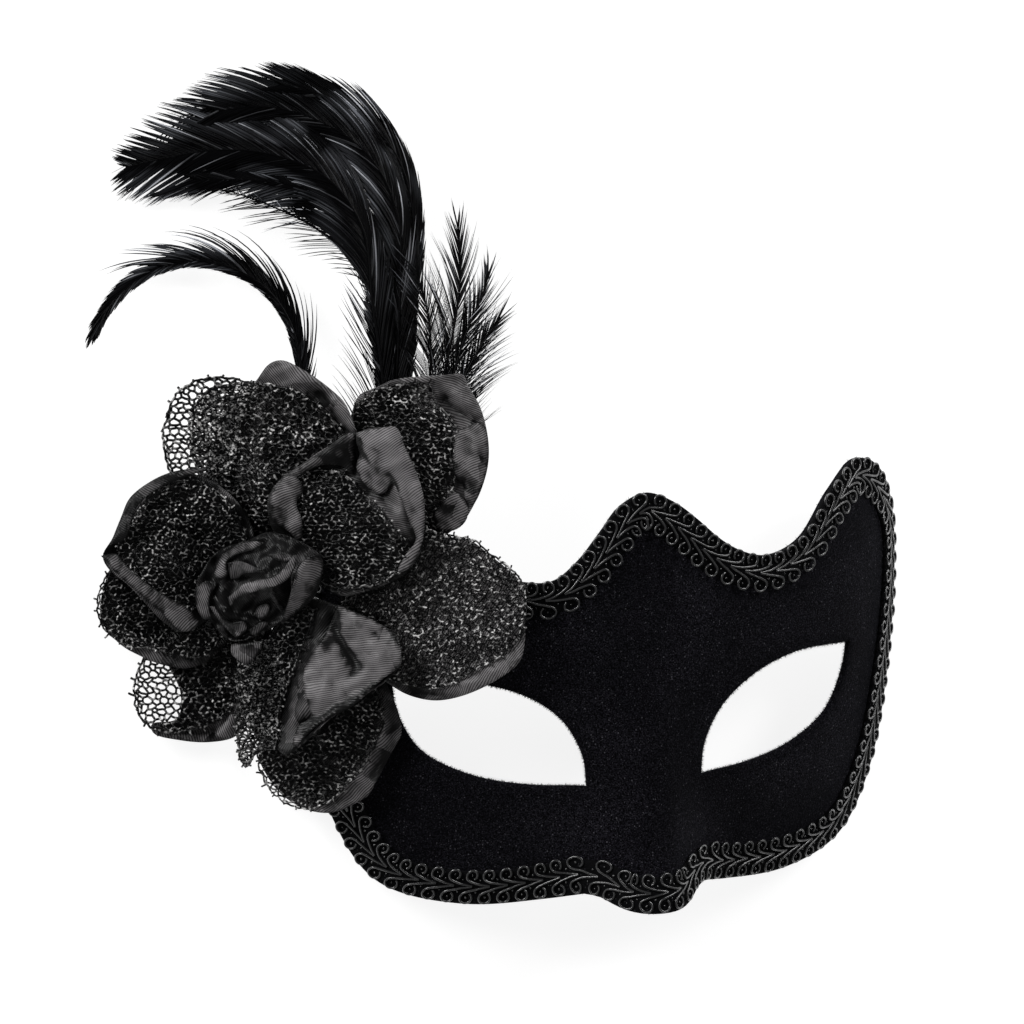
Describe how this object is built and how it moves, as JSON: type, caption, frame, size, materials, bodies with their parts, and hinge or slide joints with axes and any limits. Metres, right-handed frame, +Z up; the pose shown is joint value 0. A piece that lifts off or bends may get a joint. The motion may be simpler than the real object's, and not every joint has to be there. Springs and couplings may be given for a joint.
{
  "type": "feather masquerade mask",
  "caption": "Half-face masquerade mask in black velvet, edged with scroll braid, with a large cloth and net rose and curled feathers at one temple.",
  "frame": {"origin": "middle of the bounding box, on the surface the mask lies on", "axes": "+Z up out of the face as the mask lies face up, +Y towards the forehead, -X towards the wearer's right side, where the rose is"},
  "size_m": [0.2458, 0.2398, 0.0484],
  "materials": {
    "velvet": "moulded plastic shell flocked with black velvet",
    "braid": "black scroll gimp braid, slightly glossy",
    "taffeta": "black ribbed taffeta with a soft sheen",
    "net": "black open crocheted net, glossy thread",
    "feather": "black feather with a blue grey sheen"
  },
  "bodies": {
    "root": {"mask_shell": "velvet", "braid_trim": "braid", "feather_plume_low": "feather", "feather_plume_main": "feather", "feather_plume_high": "feather", "feather_plume_back": "feather", "feather_arch": "feather", "hackle_short": "feather", "hackle_upright": "feather", "hackle_leaning": "feather", "hackle_low": "feather", "petal_top_right": "taffeta", "petal_bottom_right": "taffeta", "petal_bottom_left": "taffeta", "petal_right": "taffeta", "petal_left_low": "taffeta", "petal_top_left": "taffeta", "petal_left_high": "taffeta", "petal_inner_high": "taffeta", "petal_inner_low": "taffeta", "net_top_right": "net", "net_bottom_right": "net", "net_bottom_left": "net", "net_right": "net", "net_left_low": "net", "net_top_left": "net", "net_left_high": "net", "net_inner_high": "net", "net_inner_low": "net", "rose_bud": "taffeta"}
  },
  "joints": []
}
